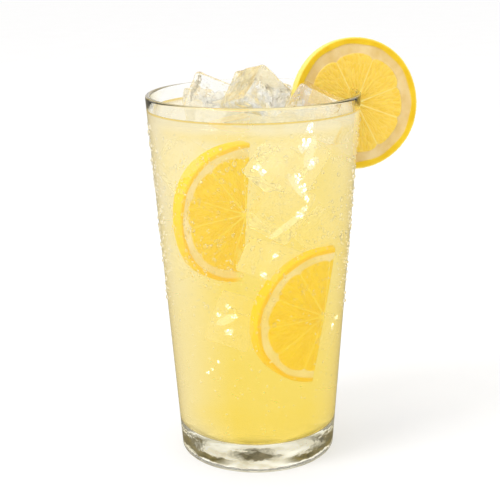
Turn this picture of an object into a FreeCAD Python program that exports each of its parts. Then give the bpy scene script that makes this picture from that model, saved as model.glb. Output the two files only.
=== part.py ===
import FreeCAD, Part
# A pint tumbler of iced lemonade with a lemon wheel on its rim, in millimetres.
# The origin is the centre of the foot, on the table, and +Z is up. -Y is the front and +X the side
# that the wheel hangs on. Every size is a cell of the spreadsheet, and the pieces follow the cells.
import math
import os

import Sketcher
from FreeCAD import Vector

# name, value, what it is
GLASS_SIZES = [
    ("glass_height", 156.3, "foot to rim"),
    ("rim_radius", 44.5, "outside of the rim"),
    ("foot_radius", 33.4, "outside of the foot, before its rounding"),
    ("wall", 2.1, "thickness of the wall"),
    ("floor_thickness", 12.4, "solid glass under the drink"),
    ("floor_round", 4.0, "inside corner between floor and wall"),
    ("foot_round", 2.0, "outside corner of the foot"),
    ("recess_radius", 25.0, "shallow hollow under the foot"),
    ("recess_depth", 1.6, "depth of that hollow at its centre"),
    ("headspace", 6.9, "from the rim down to the drink"),
    ("wall_gap", 0.4, "least clearance of ice and slices from the wall"),
]
LEMON_SIZES = [
    ("wheel_radius", 27.8, "lemon wheel on the rim"),
    ("wheel_thickness", 6.5, "lemon wheel on the rim"),
    ("wheel_round", 1.0, "edge of its rind"),
    ("wheel_angle", 18.8, "place on the rim, degrees from +X towards the back"),
    ("wheel_turn", 14.0, "turn of its face from the front towards +X, degrees"),
    ("wheel_lean", 8.0, "lean of its face upwards, degrees"),
    ("wheel_outset", 1.65, "its centre outside the middle of the wall"),
    ("wheel_drop", 7.4, "its centre below the rim"),
    ("slice_radius", 30.0, "half slices in the drink"),
    ("slice_thickness", 6.5, "half slices in the drink"),
    ("slice_round", 1.0, "edge of their rind"),
    ("ice_edge", 20.0, "side of an ice cube"),
    ("chip_edge", 15.0, "side of the small ice cube at the back"),
    ("ice_round", 2.0, "melted edges of the ice"),
]
# across and back are shares of the inside radius, height is a share of the drink's depth
SLICES = {
    "upper_slice": dict(across=-0.110, back=-0.184, height=0.712, turn=30, spin=0, lean=-6),
    "lower_slice": dict(across=0.689, back=-0.464, height=0.393, turn=30, spin=8, lean=-6),
}
# rise is from the drink's surface up to the cube's centre, in millimetres
ICE = {
    "ice_left": dict(across=-0.40, back=0.14, rise=3.4, turn=-6, tip=22, roll=-10),
    "ice_middle": dict(across=0.05, back=-0.29, rise=6.0, turn=28, tip=43, roll=-8),
    "ice_right": dict(across=0.10, back=0.33, rise=0.6, turn=12, tip=12, roll=-6),
    "ice_front": dict(across=0.58, back=-0.12, rise=-0.8, turn=-12, tip=27, roll=-6),
    "ice_chip": dict(across=-0.52, back=0.55, rise=-2.9, turn=44, tip=6, roll=8),
}


def make_sheet(doc):
    """The spreadsheet: one row for each driving size."""
    sheet = doc.addObject("Spreadsheet::Sheet", "Sizes")
    rows = [(name, value, note) for name, value, note in GLASS_SIZES + LEMON_SIZES]
    for piece, places in {**SLICES, **ICE}.items():
        rows += [(f"{piece}_{what}", value, "place of this piece") for what, value in places.items()]
    for row, (name, value, note) in enumerate(rows, start=1):
        sheet.set(f"A{row}", name)
        sheet.set(f"B{row}", str(value))
        sheet.set(f"C{row}", note)
        sheet.setAlias(f"B{row}", name)
    doc.recompute()
    return sheet


def outer(height):
    """Expression for the outside radius of the glass at a height."""
    return (
        f"(Sizes.foot_radius + (Sizes.rim_radius - Sizes.foot_radius) * ({height})"
        " / Sizes.glass_height)"
    )


def inner(height):
    """Expression for the inside radius of the glass at a height."""
    return f"({outer(height)} - Sizes.wall)"


RIM = "Sizes.glass_height"
FLOOR = "Sizes.floor_thickness"
LEVEL = "(Sizes.glass_height - Sizes.headspace)"


def plane_of(body, role):
    return next(plane for plane in body.Origin.OriginFeatures if plane.Role == role)


def upright_sketch(body, name):
    """An empty sketch on the body's XZ plane: its x is X and its y is Z."""
    sketch = body.newObject("Sketcher::SketchObject", name)
    sketch.AttachmentSupport = [(plane_of(body, "XZ_Plane"), "")]
    sketch.MapMode = "FlatFace"
    return sketch


def bind(sketch, constraint, expression):
    index = sketch.addConstraint(constraint)
    sketch.setExpression(f"Constraints[{index}]", expression)


def pin_corner(sketch, line, corner, place):
    """Ties the start of a line to a pair of expressions, or to the axis where one is 0."""
    kinds = [("DistanceX", -2), ("DistanceY", -1)]
    for (kind, axis), expression, value in zip(kinds, corner, place):
        if expression == "0":
            sketch.addConstraint(Sketcher.Constraint("PointOnObject", line, 1, axis))
        else:
            bind(sketch, Sketcher.Constraint(kind, -1, 1, line, 1, value), expression)


def outline(body, name, corners):
    """A closed outline through corners that are pairs of expressions, radius and height."""
    sketch = upright_sketch(body, name)
    places = [tuple(float(sketch.evalExpression(value)) for value in corner) for corner in corners]
    last = len(corners) - 1
    for line, place in enumerate(places):
        start, end = Vector(*place, 0), Vector(*places[0 if line == last else line + 1], 0)
        sketch.addGeometry(Part.LineSegment(start, end))
    for line in range(len(corners)):
        after = 0 if line == last else line + 1
        sketch.addConstraint(Sketcher.Constraint("Coincident", line, 2, after, 1))
    for line, (corner, place) in enumerate(zip(corners, places)):
        pin_corner(sketch, line, corner, place)
    return sketch


def turned(doc, name, corners):
    """A body turned round the Z axis from an outline."""
    body = doc.addObject("PartDesign::Body", name)
    sketch = outline(body, name + "_outline", corners)
    turning = body.newObject("PartDesign::Revolution", name + "_turning")
    turning.Profile = sketch
    turning.ReferenceAxis = (sketch, ["V_Axis"])
    turning.Angle = 360
    doc.recompute()
    return body


def value_of(body, expression):
    return float(body.evalExpression(expression))


def ring_edges(body, radius, height):
    """Names of the body's circular edges round the Z axis at a radius and height."""
    wanted_radius, wanted_height = value_of(body, radius), value_of(body, height)
    names = []
    for number, edge in enumerate(body.Tip.Shape.Edges, start=1):
        curve = edge.Curve
        if isinstance(curve, Part.Circle):
            off = abs(curve.Radius - wanted_radius) + abs(curve.Center.z - wanted_height)
            if off < 1e-4:
                names.append(f"Edge{number}")
    return names


def arc_edges(body, radius):
    """Names of the body's circular edges of a radius."""
    wanted = value_of(body, radius)
    edges = enumerate(body.Tip.Shape.Edges, start=1)
    arcs = [(number, edge.Curve) for number, edge in edges if isinstance(edge.Curve, Part.Circle)]
    return [f"Edge{number}" for number, curve in arcs if abs(curve.Radius - wanted) < 1e-4]


def round_off(doc, body, edges, radius):
    """Rounds edges of the body's last feature. The radius is an expression."""
    if not edges:
        raise RuntimeError(f"{body.Label}: no edge to round at {radius}")
    feature = body.newObject("PartDesign::Fillet", body.Name + "_round")
    feature.Base = (body.Tip if body.Tip != feature else feature.BaseFeature, edges)
    feature.setExpression("Radius", radius)
    body.Tip = feature
    doc.recompute()


def make_glass(doc):
    """Tapered tumbler with a thick floor, a hollowed foot and a rounded rim."""
    body = turned(
        doc,
        "Glass",
        [
            ("0", "Sizes.recess_depth"),
            ("Sizes.recess_radius", "0"),
            ("Sizes.foot_radius", "0"),
            ("Sizes.rim_radius", RIM),
            ("Sizes.rim_radius - Sizes.wall", RIM),
            (inner(FLOOR), FLOOR),
            ("0", FLOOR),
        ],
    )
    rim = ring_edges(body, "Sizes.rim_radius", RIM)
    rim += ring_edges(body, "Sizes.rim_radius - Sizes.wall", RIM)
    round_off(doc, body, rim, "Sizes.wall * 0.45")
    round_off(doc, body, ring_edges(body, inner(FLOOR), FLOOR), "Sizes.floor_round")
    round_off(doc, body, ring_edges(body, "Sizes.foot_radius", "0"), "Sizes.foot_round")
    body.Label = "glass"
    return body


def make_column(doc):
    """All the room in the glass up to the drink's level."""
    body = turned(
        doc, "Column", [("0", FLOOR), (inner(FLOOR), FLOOR), (inner(LEVEL), LEVEL), ("0", LEVEL)]
    )
    round_off(doc, body, ring_edges(body, inner(FLOOR), FLOOR), "Sizes.floor_round")
    body.Label = "room for the drink"
    return body


def make_clear_room(doc):
    """The inside of the glass less the wall gap, and on up past the heaped ice."""
    low, high = f"{FLOOR} + Sizes.wall_gap", f"{RIM} + 3 * Sizes.ice_edge"
    body = turned(
        doc,
        "ClearRoom",
        [
            ("0", low),
            (f"{inner(FLOOR)} - Sizes.wall_gap", low),
            (f"{inner(RIM)} - Sizes.wall_gap", RIM),
            (f"{inner(RIM)} - Sizes.wall_gap", high),
            ("0", high),
        ],
    )
    edge = ring_edges(body, f"{inner(FLOOR)} - Sizes.wall_gap", low)
    round_off(doc, body, edge, "Sizes.floor_round")
    body.Label = "room for ice and slices"
    return body


def padded(doc, body, sketch, thickness):
    pad = body.newObject("PartDesign::Pad", body.Name + "_pad")
    pad.Profile = sketch
    pad.SideType = "Symmetric"
    pad.setExpression("Length", thickness)
    doc.recompute()


def make_disc(doc, name):
    """A whole lemon wheel round the body's origin, facing the front."""
    body = doc.addObject("PartDesign::Body", name)
    sketch = upright_sketch(body, name + "_circle")
    radius = value_of(body, "Sizes.wheel_radius")
    sketch.addGeometry(Part.Circle(Vector(), Vector(0, 0, 1), radius))
    sketch.addConstraint(Sketcher.Constraint("Coincident", 0, 3, -1, 1))
    bind(sketch, Sketcher.Constraint("Radius", 0, radius), "Sizes.wheel_radius")
    padded(doc, body, sketch, "Sizes.wheel_thickness")
    round_off(doc, body, arc_edges(body, "Sizes.wheel_radius"), "Sizes.wheel_round")
    return body


def make_half_disc(doc, name):
    """A half slice facing the front, with its rind on the left and its cut side upright."""
    body = doc.addObject("PartDesign::Body", name)
    sketch = upright_sketch(body, name + "_half_circle")
    radius = value_of(body, "Sizes.slice_radius")
    circle = Part.Circle(Vector(), Vector(0, 0, 1), radius)
    sketch.addGeometry(Part.ArcOfCircle(circle, math.pi / 2, 3 * math.pi / 2))
    sketch.addGeometry(Part.LineSegment(Vector(0, -radius, 0), Vector(0, radius, 0)))
    sketch.addConstraint(Sketcher.Constraint("Coincident", 0, 3, -1, 1))
    sketch.addConstraint(Sketcher.Constraint("Coincident", 0, 2, 1, 1))
    sketch.addConstraint(Sketcher.Constraint("Coincident", 1, 2, 0, 1))
    sketch.addConstraint(Sketcher.Constraint("PointOnObject", 0, 1, -2))
    sketch.addConstraint(Sketcher.Constraint("PointOnObject", 0, 2, -2))
    bind(sketch, Sketcher.Constraint("Radius", 0, radius), "Sizes.slice_radius")
    padded(doc, body, sketch, "Sizes.slice_thickness")
    round_off(doc, body, arc_edges(body, "Sizes.slice_radius"), "Sizes.slice_round")
    return body


def make_cube(doc, name, edge):
    """An ice cube round the body's origin with melted edges."""
    body = doc.addObject("PartDesign::Body", name)
    cube = body.newObject("PartDesign::AdditiveBox", name + "_cube")
    cube.AttachmentSupport = [(plane_of(body, "XY_Plane"), "")]
    cube.MapMode = "FlatFace"
    for side in ("Length", "Width", "Height"):
        cube.setExpression(side, edge)
    half = f"-{edge} / 2"
    centring = f"placement(vector({half}; {half}; {half}); rotation(0; 0; 0))"
    cube.setExpression("AttachmentOffset", centring)
    doc.recompute()
    edges = [f"Edge{number}" for number in range(1, len(cube.Shape.Edges) + 1)]
    round_off(doc, body, edges, "Sizes.ice_round")
    return body


def put(body, across, back, height, turns):
    """Binds the body's place to expressions: two distances, a height and three turns."""
    place = f"placement(vector({across}; {back}; {height}); rotation({'; '.join(turns)}))"
    body.setExpression("Placement", place)


def boolean(doc, kind, base, tool, label):
    """Part::Cut or Part::Common of two objects, under its own label."""
    result = doc.addObject(kind, label.title().replace("_", "").replace(" ", ""))
    result.Base = base
    result.Tool = tool
    result.Label = label
    return result


def together(doc, pieces, label):
    group = doc.addObject("Part::Compound", label.title().replace(" ", ""))
    group.Links = pieces
    group.Label = label
    return group


def make_wheel(doc, glass):
    """The lemon wheel, slit from below so that it straddles the wall and grips it."""
    body = make_disc(doc, "Wheel")
    reach = "(Sizes.rim_radius - Sizes.wall / 2 + Sizes.wheel_outset)"
    put(
        body,
        f"{reach} * cos(Sizes.wheel_angle * 1 deg)",
        f"{reach} * sin(Sizes.wheel_angle * 1 deg)",
        f"{RIM} - Sizes.wheel_drop",
        ["Sizes.wheel_turn", "0", "-Sizes.wheel_lean"],
    )
    body.Label = "lemon wheel before its slit"
    return boolean(doc, "Part::Cut", body, glass, "lemon_wheel")


def make_slice(doc, name, room):
    """A half slice sunk in the drink, clear of the wall."""
    body = make_half_disc(doc, name.title().replace("_", ""))
    height = f"({FLOOR} + Sizes.{name}_height * ({LEVEL} - {FLOOR}))"
    put(
        body,
        f"Sizes.{name}_across * {inner(height)}",
        f"Sizes.{name}_back * {inner(height)}",
        height,
        [f"Sizes.{name}_turn", f"Sizes.{name}_spin", f"-Sizes.{name}_lean"],
    )
    body.Label = name + " as cut"
    return boolean(doc, "Part::Common", body, room, name)


def make_ice(doc, name, room, neighbours):
    """An ice cube that stands out of the drink, melted back where it meets its neighbours."""
    edge = "Sizes.chip_edge" if name == "ice_chip" else "Sizes.ice_edge"
    body = make_cube(doc, name.title().replace("_", ""), edge)
    put(
        body,
        f"Sizes.{name}_across * {inner(LEVEL)}",
        f"Sizes.{name}_back * {inner(LEVEL)}",
        f"{LEVEL} + Sizes.{name}_rise",
        [f"Sizes.{name}_turn", f"Sizes.{name}_tip", f"Sizes.{name}_roll"],
    )
    body.Label = name + " as frozen"
    held = boolean(doc, "Part::Common", body, room, name + " inside the wall")
    beside = together(doc, neighbours, "beside " + name)
    return boolean(doc, "Part::Cut", held, beside, name)


def check(doc, nodes):
    """Stops at a failed feature, or at a sub-part that isn't one valid solid."""
    for thing in doc.Objects:
        if {"Invalid", "Error"} & set(thing.State):
            raise RuntimeError(f"{thing.Label} failed: {thing.State}")
    for node in nodes:
        shape = node.Shape
        if shape.isNull() or not shape.isValid() or len(shape.Solids) != 1:
            raise RuntimeError(f"{node.Label} isn't one valid solid")


def main():
    doc = FreeCAD.newDocument("GlassOfLemonade")
    make_sheet(doc)
    glass = make_glass(doc)
    column, room = make_column(doc), make_clear_room(doc)
    wheel = make_wheel(doc, glass)
    slices = [make_slice(doc, name, room) for name in SLICES]
    cubes = []
    for name in ICE:
        cubes.append(make_ice(doc, name, room, [wheel, *slices, *cubes]))
    sunk = together(doc, [wheel, *slices, *cubes], "all that displaces the drink")
    lemonade = boolean(doc, "Part::Cut", column, sunk, "lemonade")
    doc.recompute()
    nodes = [glass, lemonade, wheel, *slices, *cubes]
    check(doc, nodes)
    os.makedirs("parts", exist_ok=True)
    for node in nodes:
        node.Shape.exportStep(f"parts/{node.Label}.step")
        print(f"{node.Label}: {node.Shape.Volume / 1000:.2f} cm3")


main()
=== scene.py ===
import math

import bmesh
import bpy
import numpy as np
from mathutils import Euler, Matrix, Vector


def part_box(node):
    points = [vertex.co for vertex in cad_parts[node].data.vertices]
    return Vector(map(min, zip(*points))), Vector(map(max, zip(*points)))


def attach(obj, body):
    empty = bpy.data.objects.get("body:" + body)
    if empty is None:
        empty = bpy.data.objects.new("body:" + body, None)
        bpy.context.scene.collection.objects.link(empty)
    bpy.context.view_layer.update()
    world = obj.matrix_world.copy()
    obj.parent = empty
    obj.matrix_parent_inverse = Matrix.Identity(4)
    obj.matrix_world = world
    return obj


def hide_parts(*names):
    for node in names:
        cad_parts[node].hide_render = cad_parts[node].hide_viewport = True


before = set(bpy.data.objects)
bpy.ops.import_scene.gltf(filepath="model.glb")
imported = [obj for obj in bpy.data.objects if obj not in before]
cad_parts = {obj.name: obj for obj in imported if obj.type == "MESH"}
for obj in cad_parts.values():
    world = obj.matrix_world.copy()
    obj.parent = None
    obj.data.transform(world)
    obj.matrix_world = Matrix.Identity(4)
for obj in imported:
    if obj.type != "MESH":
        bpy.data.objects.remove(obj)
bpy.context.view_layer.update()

# %% [markdown]
# # A glass of iced lemonade
# This lesson builds one drink: a tapered tumbler, cloudy lemonade, ice, two sunk half slices of lemon
# and a lemon wheel on the rim. Each could be modelled by hand or with modifiers. Formulas are chosen
# here, because glass, ice and fruit are shapes of revolution, rounded cubes and discs: a few arrays
# describe them exactly, and one number moves a whole wall. The frame gives the height of the glass and
# the level of the drink, in metres.

# %% sizes of the glass and its drink, in metres
MM = 0.001
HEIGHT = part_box("glass")[1].z
RIM_RADIUS = 44.5 * MM
FOOT_RADIUS = 33.4 * MM
WALL = 2.1 * MM
FLOOR = 12.4 * MM
FLOOR_ROUND = 4.0 * MM
FOOT_ROUND = 2.0 * MM
RECESS_RADIUS = 25.0 * MM
RECESS_DEPTH = 1.6 * MM
BLUNT = 2.0 * MM
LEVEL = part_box("lemonade")[1].z
INTO_WALL = 0.25 * MM


def outside(z):
    """Radius of the glass outside at height z: a straight taper from foot to rim."""
    return FOOT_RADIUS + (RIM_RADIUS - FOOT_RADIUS) * z / HEIGHT


def inside(z):
    """Radius of the glass inside at height z: the outside less the wall."""
    return outside(z) - WALL


print(f"glass {HEIGHT / MM:.1f} mm tall, drink up to {LEVEL / MM:.1f} mm")

# %% [markdown]
# ## Tools for shapes
# A surface of revolution is a profile of radii and heights copied round the axis. Whole arrays hold
# the points, and the faces are one small pattern of four corners repeated over the grid. A pole is one
# point with a fan of triangles, which keeps every piece closed.


# %% meshes from arrays
def beside(*columns):
    """Numbers and arrays side by side, along a new last axis."""
    return np.stack(np.broadcast_arrays(*columns), -1)


def grid_quads(rows, columns, closed=False):
    """Corner numbers of the quads of a grid of points, row by row; closed joins the last column."""
    across = columns if closed else columns - 1
    row, column = np.meshgrid(np.arange(rows - 1), np.arange(across), indexing="ij")
    after = (column + 1) % columns
    low, high = row * columns, (row + 1) * columns
    return beside(low + column, low + after, high + after, high + column).reshape(-1, 4)


def tube_faces(rows, segments):
    """Quads of closed rings in rows, and a fan at either end, round the two points after the rings."""
    here, after = np.arange(segments), (np.arange(segments) + 1) % segments
    last, pole = (rows - 1) * segments, rows * segments
    fans = [beside(after, here, pole), beside(last + here, last + after, pole + 1)]
    return grid_quads(rows, segments, closed=True), np.vstack(fans)


def make_mesh(name, points, quads, triangles=None):
    """A mesh from an array of points, an array of quads and one of triangles."""
    triangles = np.zeros((0, 3), int) if triangles is None else triangles
    mesh = bpy.data.meshes.new(name)
    mesh.vertices.add(len(points))
    mesh.vertices.foreach_set("co", np.asarray(points, np.float32).ravel())
    loops = np.concatenate([np.ravel(quads), np.ravel(triangles)]).astype(np.int32)
    sizes = np.concatenate([np.full(len(quads), 4), np.full(len(triangles), 3)])
    mesh.loops.add(len(loops))
    mesh.loops.foreach_set("vertex_index", loops)
    mesh.polygons.add(len(sizes))
    starts = np.concatenate([[0], np.cumsum(sizes)[:-1]]).astype(np.int32)
    mesh.polygons.foreach_set("loop_start", starts)
    mesh.update(calc_edges=True)
    mesh.validate()
    return mesh


def outward(mesh, merge=True):
    """Turns every face outwards, after merging points that coincide if merge is true."""
    work = bmesh.new()
    work.from_mesh(mesh)
    if merge:
        bmesh.ops.remove_doubles(work, verts=work.verts, dist=1e-7)
    bmesh.ops.recalc_face_normals(work, faces=work.faces)
    work.to_mesh(mesh)
    work.free()
    return mesh


def place_in_scene(name, data):
    """A new object that holds data, linked to the scene."""
    made = bpy.data.objects.new(name, data)
    bpy.context.scene.collection.objects.link(made)
    return made


def add_piece(name, mesh, material, slot, *stands_for):
    """Puts a finished mesh in the scene, smooth, on the body, and hides the CAD nodes it stands for. slot
    is not used.
    """
    mesh.polygons.foreach_set("use_smooth", np.ones(len(mesh.polygons), bool))
    mesh.materials.clear()
    mesh.materials.append(material)
    piece = place_in_scene(name, mesh)
    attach(piece, "root")
    if stands_for:
        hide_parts(*stands_for)
    triangles = sum(len(face.vertices) - 2 for face in mesh.polygons)
    print(f"{name}: {len(mesh.vertices)} points, {triangles} triangles")


def revolve(name, profile, segments):
    """Turns a profile of (radius, height) rows round Z. Its first and last rows lie on the axis."""
    angle = np.arange(segments) * 2 * np.pi / segments
    radius, height = profile[1:-1, :1], profile[1:-1, 1:]
    rings = beside(radius * np.cos(angle), radius * np.sin(angle), height).reshape(-1, 3)
    points = np.vstack([rings, [0, 0, profile[0, 1]], [0, 0, profile[-1, 1]]])
    return outward(make_mesh(name, points, *tube_faces(len(radius), segments)))


# %% [markdown]
# Real things are never quite regular. Two fields of numbers make them so: a sum of a few waves in
# random directions, smooth and slow, and one point scattered in each cell of a grid, with the distance
# to the nearest two, which gives pores and juice sacs.


# %% fields of unevenness
def waves(points, size, seed, count=9):
    """Sum of sine waves about size metres long in random directions, scaled to about -1 to 1."""
    rng = np.random.default_rng(seed)
    direction = rng.normal(size=(count, 3))
    direction /= np.linalg.norm(direction, axis=1, keepdims=True)
    length = size * rng.uniform(0.7, 1.6, count)
    phase = rng.uniform(0, 2 * np.pi, count)
    travel = points @ (direction / length[:, None]).T * 2 * np.pi + phase
    return np.sin(travel).sum(-1) / np.sqrt(count / 2) * 0.6


TABLE = 512  # cells a side before the pattern of cells repeats


def cells(u, v, seed, wrap=None):
    """Distances to the nearest and second nearest of points jittered in unit cells, and the nearest
    one's own random number. wrap repeats the pattern along v after that many cells."""
    rng = np.random.default_rng(seed)
    table = rng.random((3, TABLE, TABLE))
    column, row = np.floor(u).astype(int), np.floor(v).astype(int)
    near, second, label = np.full(u.shape, 9.0), np.full(u.shape, 9.0), np.zeros(u.shape)
    for i in (-1, 0, 1):
        for j in (-1, 0, 1):
            cell_v = (row + j) % wrap if wrap else row + j
            jitter_u, jitter_v, own = table[:, (column + i) % TABLE, cell_v % TABLE]
            away = np.hypot(column + i + jitter_u - u, row + j + jitter_v - v)
            closer = away < near
            second = np.where(closer, near, np.minimum(second, away))
            label = np.where(closer, own, label)
            near = np.where(closer, away, near)
    return near, second, label


def step(low, high, x):
    """Smooth step from 0 at low to 1 at high."""
    share = np.clip((x - low) / (high - low), 0, 1)
    return share * share * (3 - 2 * share)


# %% [markdown]
# ## Tools for finishes
# Colours are picked on the scale of 0 to 255 used for screens, and turned into the amounts of light
# that the renderer works with. Materials are node trees: a small helper adds a node, sets its values
# and joins its inputs, so that each finish below reads as a recipe.


# %% colours and nodes
def paint(red, green, blue):
    """Screen colour, 0 to 255, as linear light with full alpha."""
    share = np.array([red, green, blue]) / 255
    linear = np.where(share <= 0.04045, share / 12.92, ((share + 0.055) / 1.055) ** 2.4)
    return (*linear.tolist(), 1.0)


def new_material(name):
    """A node material that holds only its output."""
    material = bpy.data.materials.new(name)
    material.use_nodes = True
    material.node_tree.nodes.clear()
    material.node_tree.nodes.new("ShaderNodeOutputMaterial")
    return material


def give_out(home, shader, socket="Surface"):
    """Joins a shader node to the output of a material or of the world."""
    tree = home.node_tree
    out = next(made for made in tree.nodes if made.bl_idname.startswith("ShaderNodeOutput"))
    tree.links.new(shader.outputs[0], out.inputs[socket])


def node(home, kind, settings=None, **inputs):
    """Adds a node to home: a material, a group or the world. An input is a plain value, or an output
    socket to join."""
    tree = getattr(home, "node_tree", home)
    made = tree.nodes.new(kind)
    for setting, value in (settings or {}).items():
        setattr(made, setting, value)
    for name, value in inputs.items():
        socket = made.inputs[int(name[1:]) if name[1:].isdigit() else name.replace("_", " ")]
        if isinstance(value, bpy.types.NodeSocket):
            tree.links.new(value, socket)
        else:
            socket.default_value = value
    return made


def calc(home, operation, *values):
    """One step of arithmetic."""
    return node(home, "ShaderNodeMath", {"operation": operation},
                **{f"_{i}": value for i, value in enumerate(values)}).outputs[0]


def most(home, first, *others):
    """The largest of two or more values."""
    for other in others:
        first = calc(home, "MAXIMUM", first, other)
    return first


def spread(home, value, low, high, new_low=0.0, new_high=1.0):
    """Stretches the range from low to high to the range from new_low to new_high, and stops there."""
    return node(home, "ShaderNodeMapRange", Value=value, From_Min=low, From_Max=high, To_Min=new_low,
                To_Max=new_high).outputs[0]


def blend(home, share, first, second):
    """A mix of two colours: first at share 0, second at share 1."""
    return node(home, "ShaderNodeMix", {"data_type": "RGBA"}, _0=share, _6=first, _7=second).outputs[2]


def ramp(home, factor, *stops):
    """A colour ramp through (place, red, green, blue) stops of screen colours."""
    made = node(home, "ShaderNodeValToRGB", _0=factor)
    elements = made.color_ramp.elements
    while len(elements) < len(stops):
        elements.new(0.5)
    for element, (place, *colour) in zip(elements, stops):
        element.position, element.color = place, paint(*colour)
    return made.outputs["Color"]


def new_group(name, inputs, outputs):
    """A shader node group. inputs are (name, kind, first value) rows and outputs are (name, kind)."""
    tree = bpy.data.node_groups.new(name, "ShaderNodeTree")
    for title, kind, value in inputs:
        tree.interface.new_socket(title, in_out="INPUT", socket_type=kind).default_value = value
    for title, kind in outputs:
        tree.interface.new_socket(title, in_out="OUTPUT", socket_type=kind)
    return tree, tree.nodes.new("NodeGroupInput").outputs, tree.nodes.new("NodeGroupOutput").inputs


def where(home):
    """The place on a piece, in metres, as one vector and as its x, y and z."""
    place = node(home, "ShaderNodeTexCoord").outputs["Object"]
    return (place, *node(home, "ShaderNodeSeparateXYZ", _0=place).outputs)


def finish_surface(home, **values):
    """A Principled surface with the given values, joined to the output."""
    give_out(home, node(home, "ShaderNodeBsdfPrincipled", **values))


# %% [markdown]
# Two effects come back in many finishes: a soft unevenness, which ripples glass and roughens ice, and
# a mottle of two colours. Each is a node group, built once here and placed in a material with its own
# sizes and colours, so that one change reaches every finish that uses it.

# %% unevenness and mottle
unevenness, given, result = new_group(
    "unevenness", [("Size", "NodeSocketFloat", 0.01), ("Detail", "NodeSocketFloat", 2.0),
                   ("Stretch", "NodeSocketVector", (1.0, 1.0, 1.0))], [("Height", "NodeSocketFloat")])
place = node(unevenness, "ShaderNodeTexCoord").outputs["Object"]
place = node(unevenness, "ShaderNodeMapping", Vector=place, Scale=given["Stretch"]).outputs[0]
grain = node(unevenness, "ShaderNodeTexNoise", Vector=place, Detail=given["Detail"],
             Scale=calc(unevenness, "DIVIDE", 1.0, given["Size"]))
unevenness.links.new(grain.outputs[0], result["Height"])

mottle, given, result = new_group(
    "mottle", [("Size", "NodeSocketFloat", 0.01), ("Deep", "NodeSocketColor", (0.5, 0.5, 0.5, 1.0)),
               ("Pale", "NodeSocketColor", (1.0, 1.0, 1.0, 1.0))], [("Color", "NodeSocketColor")])
place = node(mottle, "ShaderNodeTexCoord").outputs["Object"]
grain = node(mottle, "ShaderNodeTexNoise", Vector=place, Detail=3.0,
             Scale=calc(mottle, "DIVIDE", 1.0, given["Size"])).outputs[0]
mottle.links.new(blend(mottle, spread(mottle, grain, 0.3, 0.7), given["Deep"], given["Pale"]),
                 result["Color"])


def uneven(home, size, detail=2.0, stretch=(1, 1, 1)):
    """The unevenness group with features about size metres across."""
    return node(home, "ShaderNodeGroup", {"node_tree": unevenness}, Size=size, Detail=detail,
                Stretch=stretch).outputs["Height"]


def mottled(home, size, deep, pale):
    """The mottle group between two colours."""
    return node(home, "ShaderNodeGroup", {"node_tree": mottle}, Size=size, Deep=deep,
                Pale=pale).outputs["Color"]


def bump(home, height, strength, distance):
    """Turns a height into tilted normals, up to distance metres deep."""
    return node(home, "ShaderNodeBump", Height=height, Strength=strength,
                Distance=distance).outputs["Normal"]


print("node groups:", ", ".join(group.name for group in bpy.data.node_groups))

# %% [markdown]
# Everything here lets light through. A renderer finds light on a lemon inside a glass slowly, since
# each path has to bend its way out. So the clear pieces share a trick: light that only lights
# something else goes straight through them, and only what the eye follows is bent and reflected.


# %% clear pieces that let lamps through
def lamp_light(home):
    """1 where a ray carries light to another surface, 0 where the eye looks along it."""
    path = node(home, "ShaderNodeLightPath").outputs
    return most(home, path["Is Shadow Ray"], path["Is Diffuse Ray"])


WHITE = (1, 1, 1, 1)


def finish_clear(home, let_through=WHITE, **values):
    """A Principled surface that lamp light crosses unbent, tinted by let_through on its way in."""
    surface = node(home, "ShaderNodeBsdfPrincipled", Roughness=0.0, **values)
    leaving = node(home, "ShaderNodeNewGeometry").outputs["Backfacing"]
    straight_on = node(home, "ShaderNodeBsdfTransparent", Color=blend(home, leaving, let_through, WHITE))
    give_out(home, node(home, "ShaderNodeMixShader", _0=lamp_light(home),
                        _1=surface.outputs["BSDF"], _2=straight_on.outputs[0]))


# %% [markdown]
# ## The glass
# A tumbler has a thick floor hollowed underneath, an even wall and a fire-polished rim, which is a half
# circle. Light bends on every curve of it, so the profile is drawn exactly, with arcs for the rim, the
# foot and the corner inside.


# %% glass profile
def arc(centre, radius, start, end, count):
    """Points of an arc round a centre, from one angle to another in degrees."""
    angle = np.radians(np.linspace(start, end, count))
    return beside(centre[0] + radius * np.cos(angle), centre[1] + radius * np.sin(angle))


def straight(start, end, count):
    """Points of a straight run, without its two ends."""
    share = np.linspace(0, 1, count + 2)[1:-1, None]
    return np.asarray(start) * (1 - share) + np.asarray(end) * share


def hollow_roof(radius):
    """Height of the hollow under the foot: a shallow cone, blunt at its middle."""
    return RECESS_DEPTH * (1 - np.hypot(radius, BLUNT) / np.hypot(RECESS_RADIUS, BLUNT))


def floor_corner(radius, start, end):
    """Arc of a given radius about the centre of the corner between wall and floor."""
    return arc((inside(FLOOR + FLOOR_ROUND) - FLOOR_ROUND, FLOOR + FLOOR_ROUND), radius, start, end, 12)


def glass_profile():
    """From the middle of the hollow under the foot, out, up the wall, over the rim and back in."""
    taper = math.degrees(math.atan((RIM_RADIUS - FOOT_RADIUS) / HEIGHT))
    across = np.linspace(0, RECESS_RADIUS, 18)
    hollow = beside(across, hollow_roof(across))
    foot_centre = (outside(FOOT_ROUND) - FOOT_ROUND, FOOT_ROUND)
    foot = arc(foot_centre, FOOT_ROUND, -90, -taper, 10)
    rim_centre = (outside(HEIGHT - WALL / 2) - WALL / 2, HEIGHT - WALL / 2)
    rim = arc(rim_centre, WALL / 2, -taper, 180 - taper, 17)
    corner = floor_corner(FLOOR_ROUND, -taper, -90)
    standing = straight(hollow[-1], foot[0], 3)
    wall_out, wall_in = straight(foot[-1], rim[0], 24), straight(rim[-1], corner[0], 24)
    floor_in = straight(corner[-1], (0, FLOOR), 10)
    return np.vstack([hollow, standing, foot, wall_out, rim, wall_in, corner, floor_in, [[0, FLOOR]]])


glass_mesh = revolve("tumbler", glass_profile(), 192)
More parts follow.
